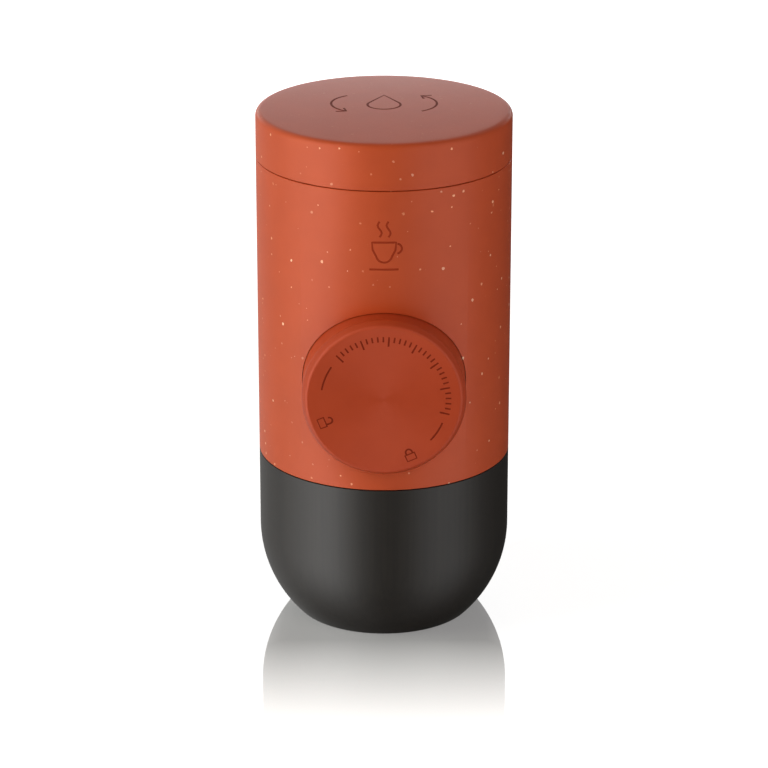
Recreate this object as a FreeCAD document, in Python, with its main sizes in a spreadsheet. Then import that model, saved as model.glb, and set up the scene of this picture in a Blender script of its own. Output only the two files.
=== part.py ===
import FreeCAD, Part
import math
import os
import Sketcher
from FreeCAD import Vector

# Handheld manual espresso maker, in millimetres, +Z up, origin on the axis at the cup's base.
# The pump button faces -Y. Sizes live in the sheet, and every piece is bound to them.

SIZES = [
    # overall
    ("body_dia", 65.0),
    ("total_height", 135.0),
    ("lid_height", 11.6),
    ("cup_height", 44.0),
    ("lid_seam", 0.4),
    ("cup_seam", 0.2),
    ("shell_wall", 2.0),
    ("fit_gap", 0.2),
    ("run_gap", 0.3),
    ("edge_round", 0.4),
    # lid and its screw thread
    ("lid_wall", 1.8),
    ("lid_top", 2.0),
    ("lid_round", 1.5),
    ("liner_wall", 1.5),
    ("liner_top", 1.6),
    ("seal_thick", 1.0),
    ("seal_width", 2.2),
    ("seal_squeeze", 0.1),
    ("thread_depth", 1.0),
    ("thread_clear", 0.5),
    ("thread_lead", 9.0),
    ("thread_root", 1.4),
    ("thread_crest", 0.8),
    ("thread_turn", 90.0),
    # tank
    ("tank_wall", 1.6),
    ("neck_wall", 1.8),
    ("tank_floor", 1.8),
    ("tank_hole", 2.2),
    ("strainer_rad", 5.0),
    ("strainer_thick", 0.5),
    # pump button and its sleeve
    ("button_dia", 41.0),
    ("button_proud", 6.5),
    ("button_length", 34.0),
    ("button_travel", 16.0),
    ("button_dish", 0.3),
    ("cap_chamfer", 1.1),
    ("cap_bevel", 1.9),
    ("cap_wall", 1.8),
    ("cap_top", 2.5),
    ("lug_high", 1.0),
    ("lug_long", 3.0),
    ("lug_wide", 6.8),
    ("ledge_thick", 1.4),
    ("sleeve_wall", 1.4),
    ("sleeve_back", 2.0),
    ("plate_thick", 2.5),
    ("stack_gap", 0.4),
    ("boss_rad", 2.4),
    ("boss_circle", 12.6),
    ("retainer_dia", 30.4),
    ("retainer_thick", 1.8),
    ("flange_dia", 16.0),
    ("flange_thick", 2.0),
    # pump and valves
    ("bore_dia", 12.0),
    ("pump_wall", 2.2),
    ("bore_front", 10.0),
    ("bore_back", 12.0),
    ("end_gap", 2.0),
    ("end_wall", 3.0),
    ("rod_dia", 10.0),
    ("piston_gap", 0.2),
    ("seal_gap", 0.1),
    ("groove_depth", 1.2),
    ("groove_long", 1.8),
    ("piston_land", 1.6),
    ("pump_flange", 32.0),
    ("pump_screws_dia", 26.0),
    ("column_dia", 14.0),
    ("column_back", 17.0),
    ("chamber_rad", 3.4),
    ("passage_rad", 1.8),
    ("port_rad", 1.5),
    ("valve_seat_rad", 1.6),
    ("valve_seat_long", 3.0),
    ("ball_rad", 2.5),
    ("ball_gap", 0.05),
    ("valve_offset", 5.0),
    ("inlet_depth", 2.0),
    ("oring_in", 3.9),
    ("oring_out", 5.7),
    ("oring_deep", 1.2),
    ("foot_wide", 34.0),
    ("foot_deep", 10.0),
    ("foot_thick", 2.5),
    ("foot_screw_x", 13.0),
    # screws and springs
    ("screw_rad", 1.25),
    ("screw_head", 2.2),
    ("head_thick", 1.5),
    ("small_screw", 1.0),
    ("small_head", 1.8),
    ("small_thick", 1.0),
    ("hole_clear", 0.1),
    ("spring_rad", 9.5),
    ("spring_wire", 1.2),
    ("spring_turns", 9.0),
    ("valve_spring", 2.3),
    ("valve_wire", 0.4),
    ("valve_turns", 6.0),
    ("wire_flats", 8.0),
    # group under the body
    ("deck_thick", 3.2),
    ("spigot_gap", 0.9),
    ("spigot_wall", 2.7),
    ("spigot_long", 9.2),
    ("grip_wide", 2.3),
    ("grip_deep", 1.4),
    ("grip_up", 3.5),
    ("gasket_thick", 2.8),
    ("gasket_width", 4.8),
    ("screen_thick", 0.6),
    ("screen_drop", 2.0),
    ("post_rad", 3.2),
    ("rim_gap", 0.2),
    ("rim_thick", 0.8),
    ("basket_wall", 0.6),
    ("basket_deep", 15.2),
    ("basket_gap", 2.0),
    ("basket_hole", 0.5),
    ("holder_wall", 2.2),
    ("holder_floor", 2.2),
    ("holder_space", 3.5),
    ("holder_chamfer", 4.0),
    ("holder_lead", 12.0),
    ("spout_long", 8.0),
    ("spout_rad", 5.0),
    ("spout_tip", 3.6),
    ("spout_bore", 2.2),
    # cup
    ("cup_wall", 2.0),
    ("cup_floor", 2.6),
    ("cup_bend", 23.0),
]

# Three thread starts, and the angle in which a ridge climbs half the pitch between two of them.
STARTS = 3
HALF_PITCH = 180 / STARTS
SCREEN_RINGS = ((4.5, 6), (9.0, 12), (13.5, 18), (18.0, 24))
BASKET_RINGS = ((4.0, 6), (8.0, 12), (12.0, 18), (16.0, 24))

doc = FreeCAD.newDocument("espresso_maker")
sheet = doc.addObject("Spreadsheet::Sheet", "dims")
for row, (word, number) in enumerate(SIZES, start=1):
    sheet.set(f"A{row}", word)
    sheet.set(f"B{row}", str(number))
    sheet.setAlias(f"B{row}", word)
doc.recompute()

# Places shared by several pieces, as expressions on the sheet.
OUTSIDE = "(dims.body_dia / 2)"
INSIDE = f"({OUTSIDE} - dims.shell_wall)"
CORE = f"({INSIDE} - dims.fit_gap)"
LID_BASE = "(dims.total_height - dims.lid_height)"
BODY_TOP = f"({LID_BASE} - dims.lid_seam)"
BODY_BASE = "(dims.cup_height + dims.cup_seam)"
DECK_TOP = f"({BODY_BASE} + dims.deck_thick)"

BUTTON_RAD = "(dims.button_dia / 2)"
SLEEVE_BORE = f"({BUTTON_RAD} + dims.run_gap)"
LUG_RAD = f"({BUTTON_RAD} + dims.lug_high)"
RELIEF_RAD = f"({LUG_RAD} + dims.run_gap)"
SLEEVE_RAD = f"({RELIEF_RAD} + dims.sleeve_wall)"
BUTTON_Z = f"({DECK_TOP} + dims.stack_gap + {SLEEVE_RAD})"
TANK_BASE = f"({BUTTON_Z} + {SLEEVE_RAD} + dims.stack_gap)"
COLUMN_TOP = f"({TANK_BASE} - dims.stack_gap)"

# Distances along the button's axis are counted outward from the body's axis, towards -Y.
FACE = f"({OUTSIDE} + dims.button_proud)"
SKIRT_END = f"({FACE} - dims.button_length)"
PLATE_OUT = f"({SKIRT_END} - dims.sleeve_back)"
PLATE_IN = f"({PLATE_OUT} - dims.plate_thick)"
CAP_UNDER = f"({FACE} - dims.cap_top)"
FLANGE_OUT = f"({CAP_UNDER} - dims.fit_gap)"
RETAINER_OUT = f"({FLANGE_OUT} - dims.flange_thick - dims.run_gap)"
RETAINER_IN = f"({RETAINER_OUT} - dims.retainer_thick)"
BORE_MOUTH = f"({PLATE_OUT} + dims.bore_front)"
BORE_END = f"({PLATE_OUT} - dims.bore_back)"
PISTON_END = f"({BORE_END} + dims.end_gap)"
COLUMN_OUT = f"({PLATE_OUT} - dims.column_back)"
COLUMN_Y = f"(-{COLUMN_OUT})"
BORE_RAD = "(dims.bore_dia / 2)"
BARREL_RAD = f"({BORE_RAD} + dims.pump_wall)"

# Lid, neck and thread.
LINER_RAD = f"({OUTSIDE} - dims.lid_wall - dims.fit_gap)"
LINER_BORE = f"({LINER_RAD} - dims.liner_wall)"
LINER_UNDER = "(dims.total_height - dims.lid_top - dims.liner_top)"
SEAL_TOP = f"({LINER_UNDER} - dims.seal_squeeze)"
NECK_TOP = f"({SEAL_TOP} - dims.seal_thick - dims.seal_squeeze)"
NECK_RAD = f"({LINER_BORE} - dims.thread_depth - dims.thread_clear)"
NECK_BORE = f"({NECK_RAD} - dims.neck_wall)"
SHOULDER = f"({BODY_TOP} + dims.fit_gap)"
LID_HELIX = f"({SHOULDER} + 2 * dims.thread_root)"

# Valves, from the tank down.
INLET_SEAT = f"({COLUMN_TOP} - dims.oring_deep - dims.inlet_depth - dims.valve_seat_long)"
INLET_FLOOR = f"({BUTTON_Z} + dims.valve_offset)"
OUTLET_ROOF = f"({BUTTON_Z} - dims.valve_offset)"
OUTLET_SEAT = f"({OUTLET_ROOF} - dims.valve_seat_long)"
BALL_DROP = "(sqrt(dims.ball_rad ^ 2 - dims.valve_seat_rad ^ 2) + dims.ball_gap)"

# Group, from the deck down.
CUP_BORE = f"({OUTSIDE} - dims.cup_wall)"
SPIGOT_RAD = f"({CUP_BORE} - dims.spigot_gap)"
SPIGOT_BORE = f"({SPIGOT_RAD} - dims.spigot_wall)"
SPIGOT_END = f"({BODY_BASE} - dims.spigot_long)"
GRIP_LOW = f"({SPIGOT_END} + dims.grip_up)"
GASKET_RAD = f"({SPIGOT_BORE} - dims.fit_gap)"
GASKET_BORE = f"({GASKET_RAD} - dims.gasket_width)"
GASKET_LOW = f"({BODY_BASE} - dims.gasket_thick)"
SCREEN_TOP = f"({BODY_BASE} - dims.screen_drop)"
SCREEN_LOW = f"({SCREEN_TOP} - dims.screen_thick)"
RIM_TOP = f"({GASKET_LOW} - dims.rim_gap)"
HOLDER_TOP = f"({RIM_TOP} - dims.rim_thick)"
HOLDER_RAD = f"({SPIGOT_BORE} - dims.thread_depth - dims.thread_clear)"
HOLDER_BORE = f"({HOLDER_RAD} - dims.holder_wall)"
BASKET_RAD = f"({HOLDER_BORE} - dims.basket_gap)"
BASKET_LOW = f"({RIM_TOP} - dims.basket_deep)"
HOLDER_FLOOR = f"({BASKET_LOW} - dims.holder_space)"
HOLDER_LOW = f"({HOLDER_FLOOR} - dims.holder_floor)"
SPOUT_LOW = f"({HOLDER_LOW} - dims.spout_long)"
HOLDER_HELIX = f"({SPIGOT_END} + dims.thread_root)"


def value(expression):
    """The number that an expression on the sheet gives."""
    result = sheet.evalExpression(expression.replace("dims.", ""))
    return float(getattr(result, "Value", result))


def bind(thing, **expressions):
    """Bind properties to the sheet; a double underscore stands for a dot."""
    for name, expression in expressions.items():
        thing.setExpression(name.replace("__", "."), expression)


def face_out(thing):
    """Turn a piece made along Z so that its top points out of the front."""
    thing.Placement = FreeCAD.Placement(Vector(0, 0, 0), FreeCAD.Rotation(Vector(1, 0, 0), 90))


def seat_on_button_axis(thing):
    face_out(thing)
    bind(thing, Placement__Base__z=BUTTON_Z)
    return thing


def post(name, radius, low, high, x="0", y="0"):
    """An upright cylinder from one height to another."""
    thing = doc.addObject("Part::Cylinder", name)
    bind(thing, Radius=radius, Height=f"{high} - {low}")
    bind(thing, Placement__Base__x=x, Placement__Base__y=y, Placement__Base__z=low)
    return thing


def rod(name, radius, inner, outer, x="0", up="0"):
    """A cylinder along the button's axis, from one outward distance to another."""
    thing = doc.addObject("Part::Cylinder", name)
    face_out(thing)
    bind(thing, Radius=radius, Height=f"{outer} - {inner}")
    bind(thing, Placement__Base__x=x, Placement__Base__y=f"-{inner}")
    bind(thing, Placement__Base__z=f"{BUTTON_Z} + {up}")
    return thing


def block(name, wide, deep, tall, x, y, z):
    """A box given by its sizes and its lowest corner."""
    thing = doc.addObject("Part::Box", name)
    bind(thing, Length=wide, Width=deep, Height=tall)
    bind(thing, Placement__Base__x=x, Placement__Base__y=y, Placement__Base__z=z)
    return thing


def fuse(name, shapes):
    thing = doc.addObject("Part::MultiFuse", name)
    thing.Shapes = shapes
    thing.Refine = True
    return thing


def cut(name, base, tool):
    thing = doc.addObject("Part::Cut", name)
    thing.Base = base
    thing.Tool = tool
    return thing


def cut_all(name, base, tools):
    return cut(name, base, fuse(name + "_tools", tools))


def common(name, shapes):
    thing = doc.addObject("Part::MultiCommon", name)
    thing.Shapes = shapes
    return thing


def group(name, shapes):
    """Identical fasteners kept as separate solids in one node."""
    thing = doc.addObject("Part::Compound", name)
    thing.Links = shapes
    return thing


def origin_plane(body, role):
    return next(item for item in body.Origin.OriginFeatures if item.Role == role)


def turned(name, outline):
    """A body turned about Z from an outline of (radius, height) corners."""
    body = doc.addObject("PartDesign::Body", name)
    sketch = body.newObject("Sketcher::SketchObject", name + "_outline")
    sketch.AttachmentSupport = [(origin_plane(body, "XZ_Plane"), "")]
    sketch.MapMode = "FlatFace"
    corners = [Vector(value(radius), value(height), 0) for radius, height in outline]
    count = len(corners)
    for index in range(count):
        sketch.addGeometry(Part.LineSegment(corners[index], corners[(index + 1) % count]), False)
    for index in range(count):
        sketch.addConstraint(Sketcher.Constraint("Coincident", index, 2, (index + 1) % count, 1))
    for index, (radius, height) in enumerate(outline):
        across = sketch.addConstraint(
            Sketcher.Constraint("DistanceX", -1, 1, index, 1, corners[index].x))
        sketch.setExpression(f"Constraints[{across}]", radius)
        upward = sketch.addConstraint(
            Sketcher.Constraint("DistanceY", -1, 1, index, 1, corners[index].y))
        sketch.setExpression(f"Constraints[{upward}]", height)
    turn = body.newObject("PartDesign::Revolution", name + "_turn")
    turn.Profile = sketch
    turn.ReferenceAxis = (sketch, ["V_Axis"])
    turn.Angle = 360
    body.Tip = turn
    doc.recompute()
    return body


def ring(name, inner, outer, low, high):
    return turned(name, [(inner, low), (outer, low), (outer, high), (inner, high)])


def round_edges(body, radius, places):
    """Round the circular edges at the given (radius, height) places."""
    base = body.Tip
    names = []
    for index, edge in enumerate(base.Shape.Edges, start=1):
        curve = edge.Curve
        if not isinstance(curve, Part.Circle):
            continue
        for wanted_radius, wanted_height in places:
            near = abs(curve.Radius - value(wanted_radius)) < 0.01
            level = abs(curve.Center.z - value(wanted_height)) < 0.01
            if near and level:
                names.append(f"Edge{index}")
    fillet = body.newObject("PartDesign::Fillet", body.Name + "_round" + str(len(body.Group)))
    fillet.Base = (base, names)
    bind(fillet, Radius=radius)
    body.Tip = fillet
    doc.recompute()


def perforate(body, hole, rings):
    """Rings of small holes right through a thin round plate."""
    for number, (distance, count) in enumerate(rings, start=1):
        label = f"{body.Name}_hole{number}"
        before = body.Shape.Volume
        sketch = body.newObject("Sketcher::SketchObject", label)
        sketch.AttachmentSupport = [(origin_plane(body, "XY_Plane"), "")]
        sketch.MapMode = "FlatFace"
        sketch.addGeometry(Part.Circle(Vector(distance, 0, 0), Vector(0, 0, 1), value(hole)), False)
        sketch.addConstraint(Sketcher.Constraint("PointOnObject", 0, 3, -1))
        sketch.addConstraint(Sketcher.Constraint("DistanceX", -1, 1, 0, 3, distance))
        size = sketch.addConstraint(Sketcher.Constraint("Radius", 0, value(hole)))
        sketch.setExpression(f"Constraints[{size}]", hole)
        pocket = body.newObject("PartDesign::Pocket", label + "_cut")
        pocket.Profile = sketch
        pocket.Type = "ThroughAll"
        pocket.Reversed = True
        body.Tip = pocket
        doc.recompute()
        pattern = body.newObject("PartDesign::PolarPattern", label + "_ring")
        pattern.Originals = [pocket]
        pattern.Axis = (sketch, ["N_Axis"])
        pattern.Angle = 360
        pattern.Occurrences = count
        body.Tip = pattern
        doc.recompute()
        assert body.Shape.Volume < before, f"{label} cut nothing"


def ridges(name, root, crest, low, first_angle, lead):
    """Thread ridges, one for each start, on a helix that passes a height at angle zero."""
    root_radius = value(root)
    crest_radius = value(crest)
    half_root = value("dims.thread_root") / 2
    half_crest = value("dims.thread_crest") / 2
    turn = value("dims.thread_turn")
    climb = value(lead) * turn / 360
    spine = Part.Wire(Part.makeHelix(value(lead), climb, max(root_radius, crest_radius)))
    section = Part.makePolygon([
        Vector(root_radius, 0, -half_root),
        Vector(crest_radius, 0, -half_crest),
        Vector(crest_radius, 0, half_crest),
        Vector(root_radius, 0, half_root),
        Vector(root_radius, 0, -half_root),
    ])
    ridge = spine.makePipeShell([section], True, True)
    ridge.translate(Vector(0, 0, value(low) + value(lead) * first_angle / 360))
    copies = []
    for start in range(STARTS):
        copy = ridge.copy()
        copy.rotate(Vector(0, 0, 0), Vector(0, 0, 1), first_angle + start * 360 / STARTS)
        copies.append(copy)
    thing = doc.addObject("Part::Feature", name)
    thing.Shape = Part.Compound(copies)
    return thing


def flat_wire(centre, heading, wire_radius):
    """The outline of thin wire that is drawn with flats, square to the way it runs."""
    flats = round(value("dims.wire_flats"))
    side = heading.cross(Vector(1, 0, 0)).normalize()
    corners = []
    for number in range(flats + 1):
        turn = 2 * math.pi * (number % flats) / flats
        across = Vector(math.cos(turn), 0, 0) + side * math.sin(turn)
        corners.append(centre + across * wire_radius)
    return Part.makePolygon(corners)


def coil(name, radius, wire, turns, length, foot, flat=False):
    """A coil spring standing on its foot, with the wire's whole thickness inside its length."""
    wire_radius = value(wire) / 2
    climb = value(length) - 2 * wire_radius
    pitch = climb / value(turns)
    spine = Part.Wire(Part.makeHelix(pitch, climb, value(radius)))
    heading = Vector(0, 2 * math.pi * value(radius), pitch)
    start = Vector(value(radius), 0, 0)
    if flat:
        outline = flat_wire(start, heading, wire_radius)
    else:
        outline = Part.Wire(Part.Circle(start, heading, wire_radius).toShape())
    thing = doc.addObject("Part::Feature", name)
    thing.Shape = spine.makePipeShell([outline], True, True)
    lift = FreeCAD.Placement(Vector(0, 0, wire_radius), FreeCAD.Rotation())
    thing.Placement = foot.multiply(lift)
    return thing


def around(radius, angles):
    """Cosine and sine offsets on a circle, as pairs of expressions."""
    return [(f"{radius} * cos({angle})", f"{radius} * sin({angle})") for angle in angles]


def make_lid_cover():
    bore = f"({OUTSIDE} - dims.lid_wall)"
    ceiling = "(dims.total_height - dims.lid_top)"
    cover = turned("lid_cover", [
        (OUTSIDE, LID_BASE), (OUTSIDE, "dims.total_height"), ("0", "dims.total_height"),
        ("0", ceiling), (bore, ceiling), (bore, LID_BASE)])
    round_edges(cover, "dims.lid_round", [(OUTSIDE, "dims.total_height")])
    round_edges(cover, "dims.edge_round", [(OUTSIDE, LID_BASE)])
    return cover


def make_lid_liner():
    top = "(dims.total_height - dims.lid_top)"
    low = f"({LID_BASE} + dims.fit_gap)"
    cup = turned("liner_shell", [
        (LINER_RAD, low), (LINER_RAD, top), ("0", top),
        ("0", LINER_UNDER), (LINER_BORE, LINER_UNDER), (LINER_BORE, low)])
    crest = f"({LINER_BORE} - dims.thread_depth)"
    root = f"({LINER_BORE} + dims.fit_gap)"
    below = f"({LID_HELIX} - dims.thread_lead / {2 * STARTS})"
    thread = ridges("liner_thread", root, crest, below, HALF_PITCH, "dims.thread_lead")
    return fuse("lid_liner", [cup, thread])


def make_lid_seal():
    outer = f"({NECK_RAD} + dims.fit_gap)"
    return ring("lid_seal", f"({outer} - dims.seal_width)", outer,
                f"({SEAL_TOP} - dims.seal_thick)", SEAL_TOP)


def make_water_tank():
    inner = f"({CORE} - dims.tank_wall)"
    floor = f"({TANK_BASE} + dims.tank_floor)"
    under = f"({SHOULDER} - dims.tank_wall)"
    shell = turned("tank_shell", [
        ("0", TANK_BASE), (CORE, TANK_BASE), (CORE, SHOULDER), (NECK_RAD, SHOULDER),
        (NECK_RAD, NECK_TOP), (NECK_BORE, NECK_TOP), (NECK_BORE, under), (inner, under),
        (inner, floor), ("0", floor)])
    root = f"({NECK_RAD} - dims.fit_gap)"
    crest = f"({NECK_RAD} + dims.thread_depth)"
    thread = ridges("tank_thread", root, crest, LID_HELIX, 0, "dims.thread_lead")
    outlet = post("tank_outlet", "dims.tank_hole", f"({TANK_BASE} - 1)", f"({floor} + 1)", "0",
                  COLUMN_Y)
    return cut("water_tank", fuse("tank_with_thread", [shell, thread]), outlet)


def make_intake_strainer():
    floor = f"({TANK_BASE} + dims.tank_floor)"
    disc = turned("intake_strainer", [
        ("0", "0"), ("dims.strainer_rad", "0"),
        ("dims.strainer_rad", "dims.strainer_thick"), ("0", "dims.strainer_thick")])
    perforate(disc, "dims.basket_hole", ((1.6, 6), (3.4, 12)))
    bind(disc, Placement__Base__y=COLUMN_Y, Placement__Base__z=floor)
    return disc


def make_body_shell():
    tube = ring("shell_tube", INSIDE, OUTSIDE, BODY_BASE, BODY_TOP)
    round_edges(tube, "dims.edge_round", [(OUTSIDE, BODY_BASE), (OUTSIDE, BODY_TOP)])
    window = rod("shell_window", SLEEVE_BORE, "0", f"(2 * {FACE})")
    return cut("body_shell", tube, window)


def make_button_guide():
    """Sleeve round the button, with a ledge that its lugs turn behind and a stop lip in front."""
    ledge_in = f"({SKIRT_END} + dims.lug_long + dims.stack_gap)"
    ledge_out = f"({ledge_in} + dims.ledge_thick)"
    lip = f"({SKIRT_END} + dims.lug_long + dims.button_travel + dims.stack_gap)"
    plate_bore = f"({BARREL_RAD} + dims.fit_gap)"
    sleeve = seat_on_button_axis(turned("guide_sleeve", [
        (plate_bore, PLATE_IN), (SLEEVE_RAD, PLATE_IN), (SLEEVE_RAD, FACE), (SLEEVE_BORE, FACE),
        (SLEEVE_BORE, lip), (RELIEF_RAD, lip), (RELIEF_RAD, ledge_out), (SLEEVE_BORE, ledge_out),
        (SLEEVE_BORE, ledge_in), (RELIEF_RAD, ledge_in), (RELIEF_RAD, PLATE_OUT),
        (plate_bore, PLATE_OUT)]))
    trim = post("guide_trim", CORE, "0", "dims.total_height")
    gate_wide = "(dims.lug_wide + 4 * dims.run_gap)"
    gate = block("guide_gate", gate_wide, f"({ledge_out} - {ledge_in} + 2 * dims.fit_gap)",
                 f"(2 * {RELIEF_RAD})", f"(-{gate_wide} / 2)", f"(-{ledge_out} - dims.fit_gap)",
                 f"({BUTTON_Z} - {RELIEF_RAD})")
    holes = [rod(f"guide_hole{number}", "(dims.screw_rad + dims.hole_clear)",
                 f"({PLATE_IN} - 1)", f"({PLATE_OUT} + 1)", across, up)
             for number, (across, up) in enumerate(pump_screw_places(), start=1)]
    return cut_all("button_guide", common("guide_trimmed", [sleeve, trim]), [gate] + holes)


def pump_screw_places():
    return around("(dims.pump_screws_dia / 2)", (45, 135, 225, 315))


def make_pump_housing():
    """Pump barrel and flange, with the upright valve column behind it."""
    flange_in = f"({PLATE_IN} - dims.plate_thick)"
    barrel = rod("pump_barrel", BARREL_RAD, f"({BORE_END} - dims.end_wall)", BORE_MOUTH)
    flange = rod("pump_flange_disc", "(dims.pump_flange / 2)", flange_in, PLATE_IN)
    column = post("pump_column", "(dims.column_dia / 2)", DECK_TOP, COLUMN_TOP, "0", COLUMN_Y)
    foot = block("pump_foot", "dims.foot_wide", "dims.foot_deep", "dims.foot_thick",
                 "(-dims.foot_wide / 2)", f"({COLUMN_Y} - dims.foot_deep / 2)", DECK_TOP)
    solid = fuse("pump_solid", [barrel, flange, column, foot])
    bore = rod("pump_bore", BORE_RAD, BORE_END, f"({BORE_MOUTH} + 1)")
    port = rod("pump_port", "dims.port_rad", COLUMN_OUT, f"({BORE_END} + 1)")
    passage = post("pump_passage", "dims.passage_rad", f"({OUTLET_ROOF} - 1)",
                   f"({INLET_FLOOR} + 1)", "0", COLUMN_Y)
    inlet = post("inlet_chamber", "dims.chamber_rad", INLET_FLOOR, f"({COLUMN_TOP} + 1)", "0",
                 COLUMN_Y)
    outlet = post("outlet_chamber", "dims.chamber_rad", f"({DECK_TOP} - 1)", OUTLET_ROOF, "0",
                  COLUMN_Y)
    top_groove = post("inlet_groove", "dims.oring_out", f"({COLUMN_TOP} - dims.oring_deep)",
                      f"({COLUMN_TOP} + 1)", "0", COLUMN_Y)
    low_groove = post("outlet_groove", "dims.oring_out", f"({DECK_TOP} - 1)",
                      f"({DECK_TOP} + dims.oring_deep)", "0", COLUMN_Y)
    tools = [bore, port, passage, inlet, outlet, top_groove, low_groove]
    for number, (across, up) in enumerate(pump_screw_places(), start=1):
        tools.append(rod(f"flange_hole{number}", "(dims.screw_rad + dims.hole_clear)",
                         f"({flange_in} - 1)", f"({PLATE_IN} + 1)", across, up))
    for side in (-1, 1):
        tools.append(post(f"foot_hole{side + 2}", "(dims.screw_rad + dims.hole_clear)",
                          f"({DECK_TOP} - 1)", f"({DECK_TOP} + dims.foot_thick + 1)",
                          f"({side} * dims.foot_screw_x)", COLUMN_Y))
    return cut_all("pump_housing", solid, tools)


def make_pump_screws():
    head_out = f"({PLATE_IN} - dims.plate_thick)"
    head_in = f"({head_out} - dims.head_thick)"
    screws = []
    for number, (across, up) in enumerate(pump_screw_places(), start=1):
        head = rod(f"pump_head{number}", "dims.screw_head", head_in, head_out, across, up)
        shank = rod(f"pump_shank{number}", "dims.screw_rad", head_in,
                    f"({PLATE_OUT} - dims.fit_gap)", across, up)
        screws.append(fuse(f"pump_screw{number}", [head, shank]))
    return group("pump_screws", screws)


def make_foot_screws():
    low = f"({BODY_BASE} + dims.edge_round)"
    head_low = f"({DECK_TOP} + dims.foot_thick)"
    head_top = f"({head_low} + dims.head_thick)"
    screws = []
    for side in (-1, 1):
        across = f"({side} * dims.foot_screw_x)"
        head = post(f"foot_head{side + 2}", "dims.screw_head", head_low, head_top, across, COLUMN_Y)
        shank = post(f"foot_shank{side + 2}", "dims.screw_rad", low, head_top, across, COLUMN_Y)
        screws.append(fuse(f"foot_screw{side + 2}", [head, shank]))
    return group("foot_screws", screws)


def make_column_seal(name, low, thick):
    """A sealing ring in the groove at one end of the valve column."""
    seal = ring(name, "(dims.oring_in + dims.seal_gap)", "(dims.oring_out - dims.seal_gap)", "0",
                thick)
    bind(seal, Placement__Base__y=COLUMN_Y, Placement__Base__z=low)
    return seal


def make_valve_seat(name, low):
    outer = "(dims.chamber_rad - dims.seal_gap / 2)"
    seat = ring(name, "dims.valve_seat_rad", outer, "0", "dims.valve_seat_long")
    bind(seat, Placement__Base__y=COLUMN_Y, Placement__Base__z=low)
    return seat


def make_valve_ball(name, seat_low):
    ball = doc.addObject("Part::Sphere", name)
    bind(ball, Radius="dims.ball_rad", Placement__Base__y=COLUMN_Y)
    bind(ball, Placement__Base__z=f"({seat_low} - {BALL_DROP})")
    return ball


def make_valve_spring(name, low, seat_low):
    length = f"({seat_low} - {BALL_DROP} - dims.ball_rad - {low} - 2 * dims.ball_gap)"
    foot = FreeCAD.Placement(
        Vector(0, value(COLUMN_Y), value(f"{low} + dims.ball_gap")), FreeCAD.Rotation())
    return coil(name, "dims.valve_spring", "dims.valve_wire", "dims.valve_turns", length, foot,
                flat=True)


def button_screw_places():
    return around("dims.boss_circle", (30, 150, 270))


def make_button_cap():
    """Button face and skirt, with two lock lugs and three screw bosses inside."""
    bore = f"({BUTTON_RAD} - dims.cap_wall)"
    cup = turned("cap_cup", [
        ("0", f"({FACE} - dims.button_dish)"), (f"({BUTTON_RAD} - dims.cap_chamfer)", FACE),
        (BUTTON_RAD, f"({FACE} - dims.cap_bevel)"), (BUTTON_RAD, SKIRT_END), (bore, SKIRT_END),
        (bore, CAP_UNDER), ("0", CAP_UNDER)])
    seat_on_button_axis(cup)
    lug_ring = seat_on_button_axis(ring("lug_ring", f"({BUTTON_RAD} - dims.cap_wall / 2)", LUG_RAD,
                                        SKIRT_END, f"({SKIRT_END} + dims.lug_long)"))
    lug_block = block("lug_block", "dims.lug_wide", f"({FACE} - {SKIRT_END})", f"(4 * {LUG_RAD})",
                      "(-dims.lug_wide / 2)", f"(-{FACE})", f"({BUTTON_Z} - 2 * {LUG_RAD})")
    lugs = common("button_lugs", [lug_ring, lug_block])
    places = list(enumerate(button_screw_places(), start=1))
    bosses = [rod(f"cap_boss{number}", "dims.boss_rad", RETAINER_OUT, f"({CAP_UNDER} + 0.1)",
                  across, up) for number, (across, up) in places]
    holes = [rod(f"boss_hole{number}", "(dims.small_screw + dims.hole_clear / 2)",
                 f"({RETAINER_OUT} - 1)", f"({CAP_UNDER} - dims.edge_round)", across, up)
             for number, (across, up) in places]
    return cut_all("button_cap", fuse("cap_solid", [cup, lugs] + bosses), holes)


def make_button_retainer():
    """Plate under the cap that holds the plunger's flange and lets the cap turn on it."""
    plate = rod("retainer_plate", "(dims.retainer_dia / 2)", RETAINER_IN, RETAINER_OUT)
    bore = rod("retainer_bore", "(dims.rod_dia / 2 + dims.run_gap)", f"({RETAINER_IN} - 1)",
               f"({RETAINER_OUT} + 1)")
    holes = [rod(f"retainer_hole{number}", "(dims.small_screw + dims.hole_clear)",
                 f"({RETAINER_IN} - 1)", f"({RETAINER_OUT} + 1)", across, up)
             for number, (across, up) in enumerate(button_screw_places(), start=1)]
    return cut_all("button_retainer", plate, [bore] + holes)


def make_button_screws():
    screws = []
    head_in = f"({RETAINER_IN} - dims.small_thick)"
    for number, (across, up) in enumerate(button_screw_places(), start=1):
        head = rod(f"button_head{number}", "dims.small_head", head_in, RETAINER_IN, across, up)
        shank = rod(f"button_shank{number}", "dims.small_screw", head_in,
                    f"({CAP_UNDER} - 2 * dims.edge_round)", across, up)
        screws.append(fuse(f"button_screw{number}", [head, shank]))
    return group("button_screws", screws)


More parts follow.
